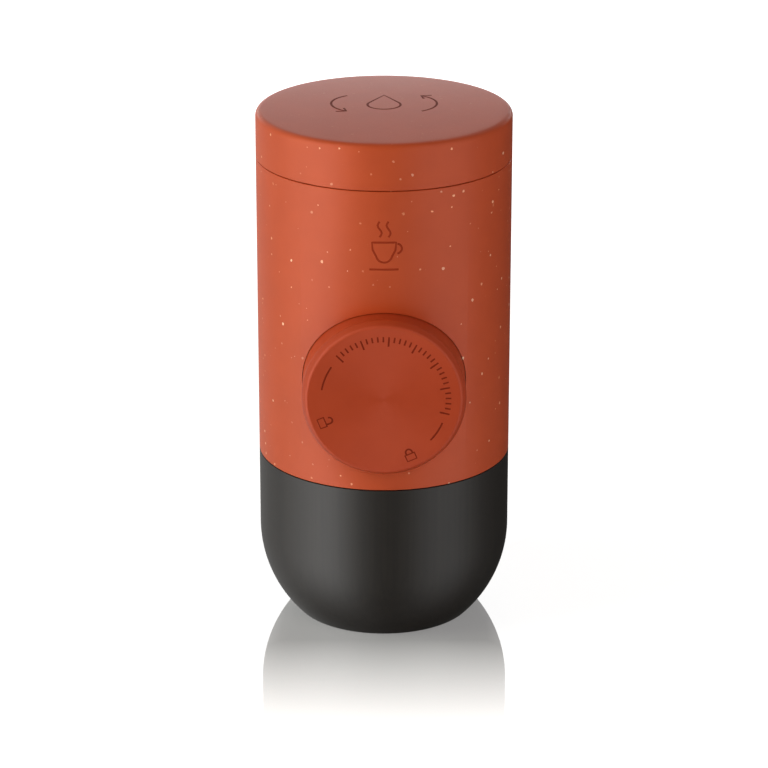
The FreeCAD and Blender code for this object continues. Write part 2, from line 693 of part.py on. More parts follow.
def make_plunger():
    shaft = "(dims.rod_dia / 2)"
    piston = f"({BORE_RAD} - dims.piston_gap)"
    groove = f"({piston} - dims.groove_depth)"
    groove_in = f"({PISTON_END} + dims.piston_land)"
    groove_out = f"({groove_in} + dims.groove_long)"
    shoulder = f"({groove_out} + dims.piston_land)"
    flange_in = f"({FLANGE_OUT} - dims.flange_thick)"
    return seat_on_button_axis(turned("plunger", [
        ("0", PISTON_END), (piston, PISTON_END), (piston, groove_in), (groove, groove_in),
        (groove, groove_out), (piston, groove_out), (piston, shoulder), (shaft, shoulder),
        (shaft, flange_in), ("(dims.flange_dia / 2)", flange_in),
        ("(dims.flange_dia / 2)", FLANGE_OUT), ("0", FLANGE_OUT)]))


def make_plunger_seal():
    inner = f"({BORE_RAD} - dims.piston_gap - dims.groove_depth + dims.seal_gap)"
    low = f"({PISTON_END} + dims.piston_land + dims.seal_gap)"
    high = f"({PISTON_END} + dims.piston_land + dims.groove_long - dims.seal_gap)"
    return seat_on_button_axis(ring("plunger_seal", inner, f"({BORE_RAD} - dims.seal_gap)",
                                    low, high))


def make_return_spring():
    length = f"({RETAINER_IN} - {PLATE_OUT} - dims.fit_gap)"
    foot = FreeCAD.Placement(
        Vector(0, -value(f"{PLATE_OUT} + dims.fit_gap / 2"), value(BUTTON_Z)),
        FreeCAD.Rotation(Vector(1, 0, 0), 90))
    return coil("return_spring", "dims.spring_rad", "dims.spring_wire", "dims.spring_turns",
                length, foot)


def make_group_head():
    """Deck that closes the body, and the threaded spigot under it that the cup slides over."""
    grip_top = f"({GRIP_LOW} + dims.grip_wide)"
    grip_rad = f"({SPIGOT_RAD} - dims.grip_deep)"
    head = turned("head_shell", [
        ("0", DECK_TOP), ("0", SCREEN_TOP), ("dims.post_rad", SCREEN_TOP),
        ("dims.post_rad", BODY_BASE), (SPIGOT_BORE, BODY_BASE), (SPIGOT_BORE, SPIGOT_END),
        (SPIGOT_RAD, SPIGOT_END), (SPIGOT_RAD, GRIP_LOW), (grip_rad, GRIP_LOW),
        (grip_rad, grip_top), (SPIGOT_RAD, grip_top), (SPIGOT_RAD, BODY_BASE), (CORE, BODY_BASE),
        (CORE, DECK_TOP)])
    root = f"({SPIGOT_BORE} + dims.fit_gap)"
    crest = f"({SPIGOT_BORE} - dims.thread_depth)"
    thread = ridges("head_thread", root, crest, HOLDER_HELIX, 0, "dims.holder_lead")
    water = post("deck_water_hole", "dims.valve_seat_rad", f"({BODY_BASE} - 1)",
                 f"({DECK_TOP} + 1)", "0", COLUMN_Y)
    screw = post("deck_screw_hole", "(dims.screw_rad + dims.hole_clear)", f"({SCREEN_TOP} - 1)",
                 f"({DECK_TOP} - dims.edge_round)")
    tools = [water, screw]
    for side in (-1, 1):
        tools.append(post(f"deck_foot_hole{side + 2}", "(dims.screw_rad + dims.hole_clear)",
                          f"({BODY_BASE} + dims.edge_round - dims.fit_gap)", f"({DECK_TOP} + 1)",
                          f"({side} * dims.foot_screw_x)", COLUMN_Y))
    return cut_all("group_head", fuse("head_solid", [head, thread]), tools)


def make_shower_screen():
    screen = ring("shower_screen", "(dims.screw_rad + dims.hole_clear)",
                  f"({GASKET_BORE} - dims.fit_gap)", "0", "dims.screen_thick")
    perforate(screen, "dims.basket_hole", SCREEN_RINGS)
    bind(screen, Placement__Base__z=SCREEN_LOW)
    return screen


def make_shower_screw():
    head_low = f"({SCREEN_LOW} - dims.small_thick)"
    head = post("shower_head", "(dims.screw_head + dims.fit_gap)", head_low, SCREEN_LOW)
    shank = post("shower_shank", "dims.screw_rad", head_low, f"({DECK_TOP} - 2 * dims.edge_round)")
    return fuse("shower_screw", [head, shank])


def make_cup_grip_ring():
    inner = f"({SPIGOT_RAD} - dims.grip_deep + dims.seal_gap)"
    return ring("cup_grip_ring", inner, f"({CUP_BORE} - dims.run_gap)",
                f"({GRIP_LOW} + dims.seal_gap)", f"({GRIP_LOW} + dims.grip_wide - dims.seal_gap)")


def make_filter_basket():
    bore = f"({BASKET_RAD} - dims.basket_wall)"
    depth = "dims.basket_deep"
    lip = f"({depth} - dims.rim_thick)"
    rim = f"({HOLDER_RAD} - dims.fit_gap)"
    basket = turned("filter_basket", [
        ("0", "0"), (BASKET_RAD, "0"), (BASKET_RAD, lip), (rim, lip), (rim, depth),
        (bore, depth), (bore, "dims.basket_wall"), ("0", "dims.basket_wall")])
    perforate(basket, "dims.basket_hole", BASKET_RINGS)
    bind(basket, Placement__Base__z=BASKET_LOW)
    return basket


def make_portafilter():
    """Threaded holder that carries the basket, with a funnel floor and a short spout."""
    funnel = f"({HOLDER_FLOOR} - dims.holder_floor / 2)"
    bevel = f"({HOLDER_RAD} - dims.holder_chamfer)"
    body = turned("holder_shell", [
        ("dims.spout_bore", SPOUT_LOW), ("dims.spout_tip", SPOUT_LOW),
        ("dims.spout_rad", HOLDER_LOW), (bevel, HOLDER_LOW),
        (HOLDER_RAD, f"({HOLDER_LOW} + dims.holder_chamfer)"), (HOLDER_RAD, HOLDER_TOP),
        (HOLDER_BORE, HOLDER_TOP), (HOLDER_BORE, f"({HOLDER_FLOOR} + dims.holder_floor)"),
        (f"({bevel} - dims.holder_wall)", HOLDER_FLOOR), ("dims.spout_bore", funnel)])
    root = f"({HOLDER_RAD} - dims.fit_gap)"
    crest = f"({HOLDER_RAD} + dims.thread_depth)"
    above = f"({HOLDER_HELIX} + dims.holder_lead / {2 * STARTS})"
    thread = ridges("holder_thread", root, crest, above, -HALF_PITCH, "dims.holder_lead")
    return fuse("portafilter", [body, thread])


def make_espresso_cup():
    """Cup whose wall drops straight and then turns in as part of a sphere to a flat base."""
    inner_rad = CUP_BORE

    def bowl(name, radius, floor):
        ball = doc.addObject("Part::Sphere", name + "_ball")
        bind(ball, Radius=radius, Angle1=f"-asin((dims.cup_bend - {floor}) / {radius})", Angle2="0")
        bind(ball, Placement__Base__z="dims.cup_bend")
        wall = post(name + "_wall", radius, "dims.cup_bend", "dims.cup_height")
        return fuse(name, [ball, wall])

    outside = bowl("cup_outside", OUTSIDE, "0")
    inside = bowl("cup_inside", inner_rad, "dims.cup_floor")
    return cut("espresso_cup", outside, inside)


PIECES = [
    make_lid_cover(),
    make_lid_liner(),
    make_lid_seal(),
    make_water_tank(),
    make_intake_strainer(),
    make_body_shell(),
    make_button_guide(),
    make_pump_housing(),
    make_pump_screws(),
    make_foot_screws(),
    make_column_seal("inlet_seal", f"({COLUMN_TOP} - dims.oring_deep)",
                     "(dims.oring_deep + dims.stack_gap - dims.seal_gap)"),
    make_column_seal("outlet_seal", DECK_TOP, "dims.oring_deep"),
    make_valve_seat("inlet_seat", INLET_SEAT),
    make_valve_seat("outlet_seat", OUTLET_SEAT),
    make_valve_ball("inlet_ball", INLET_SEAT),
    make_valve_ball("outlet_ball", OUTLET_SEAT),
    make_valve_spring("inlet_spring", INLET_FLOOR, INLET_SEAT),
    make_valve_spring("outlet_spring", DECK_TOP, OUTLET_SEAT),
    make_button_cap(),
    make_button_retainer(),
    make_button_screws(),
    make_plunger(),
    make_plunger_seal(),
    make_return_spring(),
    make_group_head(),
    ring("group_gasket", GASKET_BORE, GASKET_RAD, GASKET_LOW, BODY_BASE),
    make_shower_screen(),
    make_shower_screw(),
    make_cup_grip_ring(),
    make_filter_basket(),
    make_portafilter(),
    make_espresso_cup(),
]

doc.recompute()
for item in doc.Objects:
    assert not {"Invalid", "Error"} & set(item.State), f"{item.Name} failed: {item.State}"
os.makedirs("parts", exist_ok=True)
for piece in PIECES:
    assert not piece.Shape.isNull() and piece.Shape.isValid(), f"{piece.Label} has no valid shape"
    solids = len(piece.Shape.Solids)
    assert solids >= 1, f"{piece.Label} has no solid"
    print(f"{piece.Label}: {solids} solid(s), {piece.Shape.Volume / 1000:.2f} cm3")
for piece in PIECES:
    piece.Shape.exportStep(f"parts/{piece.Label}.step")
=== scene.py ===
import bpy
import math
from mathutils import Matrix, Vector


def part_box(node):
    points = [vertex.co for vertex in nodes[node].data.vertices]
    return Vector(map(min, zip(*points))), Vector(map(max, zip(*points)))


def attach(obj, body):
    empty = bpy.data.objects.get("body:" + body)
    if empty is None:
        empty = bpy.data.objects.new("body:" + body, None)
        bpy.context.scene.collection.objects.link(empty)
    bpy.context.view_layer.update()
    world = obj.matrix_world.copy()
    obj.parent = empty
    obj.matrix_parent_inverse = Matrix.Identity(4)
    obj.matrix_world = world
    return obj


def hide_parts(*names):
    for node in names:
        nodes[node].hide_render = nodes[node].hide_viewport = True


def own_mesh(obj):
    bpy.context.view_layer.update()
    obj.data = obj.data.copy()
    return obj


# A handheld manual espresso maker: screw lid, speckled body, twist-lock pump button, dark cup.

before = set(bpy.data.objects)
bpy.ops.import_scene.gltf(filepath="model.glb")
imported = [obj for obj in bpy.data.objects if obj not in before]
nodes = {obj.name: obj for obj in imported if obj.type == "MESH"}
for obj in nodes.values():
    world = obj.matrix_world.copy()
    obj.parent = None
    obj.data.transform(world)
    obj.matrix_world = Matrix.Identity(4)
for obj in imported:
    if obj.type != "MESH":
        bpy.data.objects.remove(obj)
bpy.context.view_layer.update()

MM = 0.001
SEGMENTS = 256
SMOOTH_ANGLE = math.radians(32)

# Places that the imported parts give.
lid_low, lid_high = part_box("lid_cover")
shell_low, shell_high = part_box("body_shell")
button_low, button_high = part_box("button_cap")
cup_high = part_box("espresso_cup")[1]
BODY_RADIUS = lid_high.x
FACE_OUT = -button_low.y
SKIRT_OUT = -button_high.y
BUTTON_RADIUS = button_high.x
BUTTON_HEIGHT = (button_low.z + button_high.z) / 2

# Sizes as in the part.
SHELL_WALL = 2.0 * MM
LID_WALL = 1.8 * MM
LID_TOP = 2.0 * MM
LID_ROUND = 1.5 * MM
CUP_WALL = 2.0 * MM
CUP_FLOOR = 2.6 * MM
CUP_BEND = 23.0 * MM
CAP_WALL = 1.8 * MM
CAP_TOP = 2.5 * MM
CAP_CHAMFER = 1.1 * MM
CAP_BEVEL = 1.9 * MM
CAP_DISH = 0.3 * MM
LUG_LONG = 3.0 * MM
LUG_HALF = 3.4 * MM
LUG_HIGH = 1.0 * MM

# Sizes and steps of the visible pieces alone. A room is how far from an edge the next ring
# stands, so that the edge can be rounded.
EDGE_ROUND = 0.18 * MM
LID_SIGN_RISE = 0.05 * MM
LID_DROP = 0.2 * MM
WINDOW_GAP = 0.16 * MM
WINDOW_LIP = 0.15 * MM
WINDOW_SEGMENTS = 160
LIP_ANGLE = math.radians(35)
SHOULDER_ROUND = 0.25 * MM
FACE_ROUND = 0.55 * MM
ROUND_ROOM = 0.6 * MM
BASE_ROUND = 0.3 * MM
BASE_ROOM = 1.0 * MM
CUP_ARC_STEPS = 24

# Tolerances: a circle that closes to a pole, points that are welded, points on a ring, and
# faces on the button's side.
POLE = 0.01 * MM
WELD = 0.02 * MM
LINE_WELD = 0.001 * MM
NEAR_RING = 0.02 * MM
NEAR_SIDE = 0.05 * MM


def clear_selection():
    if bpy.context.mode != "OBJECT":
        bpy.ops.object.mode_set(mode="OBJECT")
    bpy.ops.object.select_all(action="DESELECT")


def make_active(piece):
    clear_selection()
    piece.select_set(True)
    bpy.context.view_layer.objects.active = piece


def settle(piece):
    """Put the object at the origin, unturned and unscaled, with its place in its mesh."""
    make_active(piece)
    bpy.ops.object.transform_apply(location=True, rotation=True, scale=True)


def apply_modifiers(piece):
    make_active(piece)
    for modifier in list(piece.modifiers):
        bpy.ops.object.modifier_apply(modifier=modifier.name)


def smooth(piece):
    make_active(piece)
    bpy.ops.object.shade_smooth_by_angle(angle=SMOOTH_ANGLE)


def deselect_parts(kind):
    """Deselect every point, edge and face, ready to pick some of one kind."""
    bpy.ops.object.mode_set(mode="EDIT")
    bpy.ops.mesh.select_mode(type=kind)
    bpy.ops.mesh.select_all(action="DESELECT")
    bpy.ops.object.mode_set(mode="OBJECT")


def select_edges(piece, chosen):
    """In edit mode, select the edges whose two ends both pass the test."""
    deselect_parts("EDGE")
    points = piece.data.vertices
    for edge in piece.data.edges:
        edge.select = all(chosen(points[index].co) for index in edge.vertices)
    bpy.ops.object.mode_set(mode="EDIT")


def select_faces(piece, chosen):
    """In edit mode, select the faces whose centre passes the test."""
    deselect_parts("FACE")
    for face in piece.data.polygons:
        face.select = chosen(face.center)
    bpy.ops.object.mode_set(mode="EDIT")


def turned(name, profile, segments=SEGMENTS, closed=False):
    """A shape turned about Z: a circle is extruded and resized from ring to ring of a profile.

    A profile that starts and ends on the axis is closed at both poles. A closed one is a ring
    whose last circle meets its first.
    """
    radius, height = profile[0]
    clear_selection()
    bpy.ops.mesh.primitive_circle_add(
        vertices=segments, radius=max(radius, POLE), location=(0, 0, height))
    piece = bpy.context.active_object
    piece.name = name
    bpy.ops.object.transform_apply(location=True, rotation=False, scale=False)
    bpy.ops.object.mode_set(mode="EDIT")
    bpy.ops.mesh.select_all(action="SELECT")
    for next_radius, next_height in profile[1:] + (profile[:1] if closed else []):
        bpy.ops.mesh.extrude_edges_move(
            TRANSFORM_OT_translate={"value": (0, 0, next_height - height)})
        ratio = max(next_radius, POLE) / max(radius, POLE)
        bpy.ops.transform.resize(value=(ratio, ratio, 1), center_override=(0, 0, next_height))
        radius, height = next_radius, next_height
    bpy.ops.mesh.select_all(action="SELECT")
    bpy.ops.mesh.remove_doubles(threshold=WELD)
    bpy.ops.mesh.normals_make_consistent(inside=False)
    bpy.ops.object.mode_set(mode="OBJECT")
    return piece


def soften_ring(piece, radius, height, width, steps):
    """Round the circular edge at a radius and height."""
    def on_ring(point):
        return (abs(math.hypot(point.x, point.y) - radius) < NEAR_RING
                and abs(point.z - height) < NEAR_RING)

    make_active(piece)
    select_edges(piece, on_ring)
    bpy.ops.mesh.bevel(offset=width, segments=steps, profile=0.5, affect="EDGES")
    bpy.ops.object.mode_set(mode="OBJECT")


def face_front(piece):
    """Turn a piece made along Z so that its top points out of the front, on the button's axis."""
    piece.rotation_euler = (math.radians(90), 0, 0)
    piece.location = (0, 0, BUTTON_HEIGHT)
    settle(piece)


def arc_points(radius, start, end, steps, centre=(0, 0)):
    """Points on an arc, by angle in degrees from the first axis towards the second."""
    points = []
    for step in range(steps + 1):
        angle = math.radians(start + (end - start) * step / steps)
        points.append((centre[0] + radius * math.cos(angle), centre[1] + radius * math.sin(angle)))
    return points


# Materials: base colours in linear light.

ORANGE = (0.53, 0.076, 0.0175)
ORANGE_SHADE = (0.50, 0.070, 0.0160)
BUTTON_ORANGE = (0.46, 0.056, 0.0140)
BUTTON_SHADE = (0.43, 0.051, 0.0125)
FLECK = (0.96, 0.45, 0.24)
PALE_FLECK = (1.0, 0.66, 0.46)
CHARCOAL = (0.0105, 0.0085, 0.0065)
CHARCOAL_SHADE = (0.0090, 0.0072, 0.0056)
# Dark red of the button's marks. On the lid sign the same colour is painted shade: it stands for
# the shadow inside debossed grooves.
MARK_AND_GROOVE_SHADE = (0.19, 0.020, 0.006)
MARK_AND_GROOVE_SHADE_DARKER = (0.17, 0.018, 0.005)
PALE_INK = (0.31, 0.036, 0.010)
PALE_INK_SHADE = (0.28, 0.032, 0.009)
BLACK = (0.018, 0.018, 0.018)
BLACK_SHADE = (0.012, 0.012, 0.012)
SILICONE = (0.55, 0.53, 0.50)
SILICONE_SHADE = (0.48, 0.46, 0.44)
STEEL = (0.62, 0.62, 0.61)
STEEL_SHADE = (0.48, 0.48, 0.47)
BRASS = (0.72, 0.52, 0.22)
BRASS_SHADE = (0.60, 0.42, 0.16)
TANK_TINT = (0.80, 0.86, 0.88)
TANK_FROST = (0.88, 0.92, 0.93)

# Flecks: cells per metre, largest reach and soft edge in cells, waver of their outline, and the
# strength of the faintest. They fade between two depths below the lid's top.
FLECK_CELLS = 400.0
FLECK_REACH = 0.17
FLECK_SOFT = 0.025
FLECK_WAVER = 0.42 * MM
FLECK_FAINTEST = 0.25
FLECK_FADE = (1.0 * MM, 0.2 * MM)
FLECK_ON_TOP = 0.12

# Noise: scales per metre, stretches, bump depths, how much lighter the streaks are, and the
# range that a noise mostly fills.
NOISE_RANGE = (0.3, 0.7)
CLOUD_SCALE = 120.0
GRAIN_SCALE = 5200.0
GRAIN_DEPTH = 0.05 * MM
WAVER_SCALE = 1800.0
STREAK_SCALE = 900.0
STREAK_STRETCH = (1, 1, 0.012)
STREAK_LIFT = 1.5
SCRATCH_SCALE = 900.0
SCRATCH_STRETCH = (1, 1, 6)
SCRATCH_DEPTH = 0.03 * MM
FROST_SCALE = 400.0

# How far the button's gloss fans out round its axis.
SPUN_GLOSS = 0.75


def new_material(name):
    material = bpy.data.materials.new(name)
    material.use_nodes = True
    tree = material.node_tree
    shader = tree.nodes["Principled BSDF"]
    return material, tree, shader


def add(tree, kind, operation=None):
    node = tree.nodes.new(kind)
    if operation:
        node.operation = operation
    return node


def link(tree, source, target):
    tree.links.new(source, target)


def maths(tree, operation, first, second=None):
    """The result of a sum on one or two sockets; the second may be a plain number."""
    node = add(tree, "ShaderNodeMath", operation)
    link(tree, first, node.inputs[0])
    if isinstance(second, float):
        node.inputs[1].default_value = second
    elif second is not None:
        link(tree, second, node.inputs[1])
    return node.outputs["Value"]


def shader_mix(tree, factor, first, second):
    mix = add(tree, "ShaderNodeMixShader")
    for source, target in zip((factor, first, second), mix.inputs):
        link(tree, source, target)
    return mix.outputs["Shader"]


def background(tree, colour, strength):
    """World background of a socket's colour or a plain one."""
    node = add(tree, "ShaderNodeBackground")
    if isinstance(colour, tuple):
        node.inputs["Color"].default_value = (*colour, 1)
    else:
        link(tree, colour, node.inputs["Color"])
    node.inputs["Strength"].default_value = strength
    return node.outputs["Background"]


def object_place(tree, stretch=(1, 1, 1)):
    place = add(tree, "ShaderNodeTexCoord")
    mapping = add(tree, "ShaderNodeMapping")
    mapping.inputs["Scale"].default_value = stretch
    link(tree, place.outputs["Object"], mapping.inputs["Vector"])
    return mapping.outputs["Vector"]


def span(tree, source, low, high, to_low, to_high, smooth_step=False):
    """Map a range to another, held at its ends."""
    ramp = add(tree, "ShaderNodeMapRange")
    if smooth_step:
        ramp.interpolation_type = "SMOOTHSTEP"
    ramp.inputs["From Min"].default_value = low
    ramp.inputs["From Max"].default_value = high
    ramp.inputs["To Min"].default_value = to_low
    ramp.inputs["To Max"].default_value = to_high
    link(tree, source, ramp.inputs["Value"])
    return ramp.outputs["Result"]


def noise(tree, vector, scale, detail=3.0, roughness=0.5):
    texture = add(tree, "ShaderNodeTexNoise")
    texture.inputs["Scale"].default_value = scale
    texture.inputs["Detail"].default_value = detail
    texture.inputs["Roughness"].default_value = roughness
    link(tree, vector, texture.inputs["Vector"])
    return texture


def relief(tree, shader, height, strength, distance):
    """Bump for the grain alone."""
    bump = add(tree, "ShaderNodeBump")
    bump.inputs["Strength"].default_value = strength
    bump.inputs["Distance"].default_value = distance
    link(tree, height, bump.inputs["Height"])
    link(tree, bump.outputs["Normal"], shader.inputs["Normal"])


def mixed(tree, factor, first, second):
    """Colour mix by the sockets of the Mix node that hold colours."""
    mix = add(tree, "ShaderNodeMix")
    mix.data_type = "RGBA"
    link(tree, factor, mix.inputs[0])
    colours = [item for item in mix.inputs if item.type == "RGBA"]
    for socket, colour in zip(colours, (first, second)):
        if isinstance(colour, tuple):
            socket.default_value = (*colour, 1)
        else:
            link(tree, colour, socket)
    return [item for item in mix.outputs if item.type == "RGBA"][0]


def moulded_plastic(name, colour, shade, rough=0.42, specular=0.5, grain=0.05):
    """Satin moulded plastic: faint cloudy colour and a fine grain."""
    material, tree, shader = new_material(name)
    place = object_place(tree)
    cloud = noise(tree, place, CLOUD_SCALE, 4.0)
    factor = span(tree, cloud.outputs["Fac"], *NOISE_RANGE, 0.0, 1.0)
    tone = mixed(tree, factor, colour, shade)
    link(tree, tone, shader.inputs["Base Color"])
    fine = noise(tree, place, GRAIN_SCALE, 2.0, 0.6)
    link(tree, span(tree, fine.outputs["Fac"], *NOISE_RANGE, rough - 0.04, rough + 0.04),
         shader.inputs["Roughness"])
    shader.inputs["Specular IOR Level"].default_value = specular
    relief(tree, shader, fine.outputs["Fac"], grain, GRAIN_DEPTH)
    return material, tree, shader, place, tone


def speckled_plastic(name, colour, shade, fleck, pale_fleck):
    """The same plastic with sparse pale flecks of mixed size."""
    material, tree, shader, place, tone = moulded_plastic(name, colour, shade)
    waver = noise(tree, place, WAVER_SCALE, 2.0)
    shift = add(tree, "ShaderNodeVectorMath", "MULTIPLY_ADD")
    link(tree, waver.outputs["Color"], shift.inputs[0])
    shift.inputs[1].default_value = (FLECK_WAVER, FLECK_WAVER, FLECK_WAVER)
    link(tree, place, shift.inputs[2])
    cells = add(tree, "ShaderNodeTexVoronoi")
    cells.inputs["Scale"].default_value = FLECK_CELLS
    link(tree, shift.outputs["Vector"], cells.inputs["Vector"])
    luck = add(tree, "ShaderNodeSeparateColor")
    link(tree, cells.outputs["Color"], luck.inputs["Color"])
    reach = span(tree, luck.outputs["Red"], 0.0, 1.0, 0.0, FLECK_REACH)
    inside = maths(tree, "SUBTRACT", reach, cells.outputs["Distance"])
    mask = span(tree, inside, 0.0, FLECK_SOFT, 0.0, 1.0, True)
    strength = span(tree, luck.outputs["Green"], 0.1, 0.9, FLECK_FAINTEST, 1.0)
    height = add(tree, "ShaderNodeSeparateXYZ")
    link(tree, place, height.inputs["Vector"])
    fade_low, fade_high = [lid_high.z - depth for depth in FLECK_FADE]
    below_top = span(tree, height.outputs["Z"], fade_low, fade_high, 1.0, FLECK_ON_TOP)
    amount = maths(tree, "MULTIPLY", mask, maths(tree, "MULTIPLY", strength, below_top))
    fleck_tone = mixed(tree, luck.outputs["Blue"], fleck, pale_fleck)
    speckled = mixed(tree, amount, tone, fleck_tone)
    link(tree, speckled, shader.inputs["Base Color"])
    return material


def spun_plastic(name, colour, shade):
    """Plastic whose mould was turned on a lathe: its gloss fans out round the button's axis."""
    material, tree, shader, place, _ = moulded_plastic(
        name, colour, shade, specular=0.45, grain=0.03)
    from_axis = add(tree, "ShaderNodeVectorMath", "SUBTRACT")
    link(tree, place, from_axis.inputs[0])
    from_axis.inputs[1].default_value = (0, 0, BUTTON_HEIGHT)
    turning = add(tree, "ShaderNodeVectorMath", "CROSS_PRODUCT")
    link(tree, from_axis.outputs["Vector"], turning.inputs[0])
    turning.inputs[1].default_value = (0, 1, 0)
    unit = add(tree, "ShaderNodeVectorMath", "NORMALIZE")
    link(tree, turning.outputs["Vector"], unit.inputs[0])
    link(tree, unit.outputs["Vector"], shader.inputs["Tangent"])
    shader.inputs["Anisotropic"].default_value = SPUN_GLOSS
    return material


def charcoal_plastic():
    """Matt charcoal with very faint upright streaks."""
    material, tree, shader, _, tone = moulded_plastic(
        "charcoal_plastic", CHARCOAL, CHARCOAL_SHADE, rough=0.44, specular=0.6, grain=0.08)
    upright = object_place(tree, STREAK_STRETCH)
    streak = noise(tree, upright, STREAK_SCALE, 3.0, 0.6)
    factor = span(tree, streak.outputs["Fac"], 0.35, 0.75, 0.0, 1.0)
    lighter = tuple(channel * STREAK_LIFT for channel in CHARCOAL)
    link(tree, mixed(tree, factor, tone, lighter), shader.inputs["Base Color"])
    return material


def metal(name, colour, shade, rough):
    """Turned or drawn metal with fine scratches round the axis."""
    material, tree, shader = new_material(name)
    place = object_place(tree, SCRATCH_STRETCH)
    scratch = noise(tree, place, SCRATCH_SCALE, 4.0, 0.7)
    factor = span(tree, scratch.outputs["Fac"], *NOISE_RANGE, 0.0, 1.0)
    link(tree, mixed(tree, factor, colour, shade), shader.inputs["Base Color"])
    link(tree, span(tree, scratch.outputs["Fac"], *NOISE_RANGE, rough, rough + 0.12),
         shader.inputs["Roughness"])
    shader.inputs["Metallic"].default_value = 1.0
    relief(tree, shader, scratch.outputs["Fac"], 0.05, SCRATCH_DEPTH)
    return material


def clear_plastic():
    """Clear tank plastic with a light frost."""
    material, tree, shader = new_material("clear_plastic")
    place = object_place(tree)
    frost = noise(tree, place, FROST_SCALE, 3.0)
    link(tree, span(tree, frost.outputs["Fac"], *NOISE_RANGE, 0.10, 0.22),
         shader.inputs["Roughness"])
    link(tree, mixed(tree, frost.outputs["Fac"], TANK_TINT, TANK_FROST),
         shader.inputs["Base Color"])
    shader.inputs["Transmission Weight"].default_value = 0.75
    shader.inputs["IOR"].default_value = 1.5
    return material


orange_speckled = speckled_plastic("orange_speckled", ORANGE, ORANGE_SHADE, FLECK, PALE_FLECK)
orange_spun = spun_plastic("orange_spun", BUTTON_ORANGE, BUTTON_SHADE)
charcoal = charcoal_plastic()
black_plastic = moulded_plastic("black_plastic", BLACK, BLACK_SHADE, rough=0.5, grain=0.08)[0]
silicone = moulded_plastic("silicone", SILICONE, SILICONE_SHADE, rough=0.6, specular=0.3)[0]
black_rubber = moulded_plastic("black_rubber", BLACK_SHADE, BLACK, rough=0.65, specular=0.3)[0]
steel = metal("stainless_steel", STEEL, STEEL_SHADE, 0.24)
brass = metal("turned_brass", BRASS, BRASS_SHADE, 0.28)
tank_plastic = clear_plastic()
# Dark red for the button's marks, and painted shade for the lid sign's grooves.
mark_and_groove_shade_red = moulded_plastic("mark_and_groove_shade_red", MARK_AND_GROOVE_SHADE, MARK_AND_GROOVE_SHADE_DARKER, rough=0.6, specular=0.1)[0]
mark_orange = moulded_plastic("mark_orange", PALE_INK, PALE_INK_SHADE, rough=0.6,
                              specular=0.15)[0]


def dress(piece, material):
    piece.data.materials.clear()
    piece.data.materials.append(material)


def finish_piece(piece, material, body, stands_for=None):
    dress(piece, material)
    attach(piece, body)
    if stands_for:
        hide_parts(stands_for)


# Lid.

def make_lid():
    bore = BODY_RADIUS - LID_WALL
    ceiling = lid_high.z - LID_TOP
    flat = BODY_RADIUS - 2 * LID_ROUND
    top = lid_high.z - LID_SIGN_RISE
    side = top - 2 * LID_ROUND
    rim = lid_low.z - LID_DROP
    lid = turned("lid_cap", [
        (0, ceiling), (bore - 2 * LID_ROUND, ceiling), (bore, ceiling),
        (bore, rim + 2 * EDGE_ROUND), (bore, rim), (BODY_RADIUS, rim),
        (BODY_RADIUS, rim + 2 * EDGE_ROUND), (BODY_RADIUS, side),
        (BODY_RADIUS, top), (flat, top), (0, top)])
    soften_ring(lid, BODY_RADIUS, top, LID_ROUND, 8)
    soften_ring(lid, BODY_RADIUS, rim, EDGE_ROUND, 4)
    soften_ring(lid, bore, rim, EDGE_ROUND / 2, 2)
    smooth(lid)
    finish_piece(lid, orange_speckled, "lid", "lid_cover")


# Body casing, with the round window that the button passes through.

def make_casing():
    inner = BODY_RADIUS - SHELL_WALL
    low, high = shell_low.z, shell_high.z
    casing = turned("body_casing", [
        (inner, low), (BODY_RADIUS, low), (BODY_RADIUS, low + 2 * EDGE_ROUND),
        (BODY_RADIUS, high - 2 * EDGE_ROUND), (BODY_RADIUS, high), (inner, high)], closed=True)
    soften_ring(casing, BODY_RADIUS, low, EDGE_ROUND, 4)
    soften_ring(casing, BODY_RADIUS, high, EDGE_ROUND, 4)
    cutter = turned("window_cutter", [
        (0, 0), (BUTTON_RADIUS + WINDOW_GAP, 0), (BUTTON_RADIUS + WINDOW_GAP, 2 * FACE_OUT),
        (0, 2 * FACE_OUT)], segments=WINDOW_SEGMENTS)
    face_front(cutter)
    window = casing.modifiers.new("window", "BOOLEAN")
    window.operation = "DIFFERENCE"
    window.solver = "EXACT"
    window.object = cutter
    apply_modifiers(casing)
    bpy.data.objects.remove(cutter)
    lip = casing.modifiers.new("lip", "BEVEL")
    lip.limit_method = "ANGLE"
    lip.angle_limit = LIP_ANGLE
    lip.width = WINDOW_LIP
    lip.segments = 3
    apply_modifiers(casing)
    smooth(casing)
    finish_piece(casing, orange_speckled, "main_body", "body_shell")


# Pump button: dished face, bevelled rim, skirt and lock lugs.

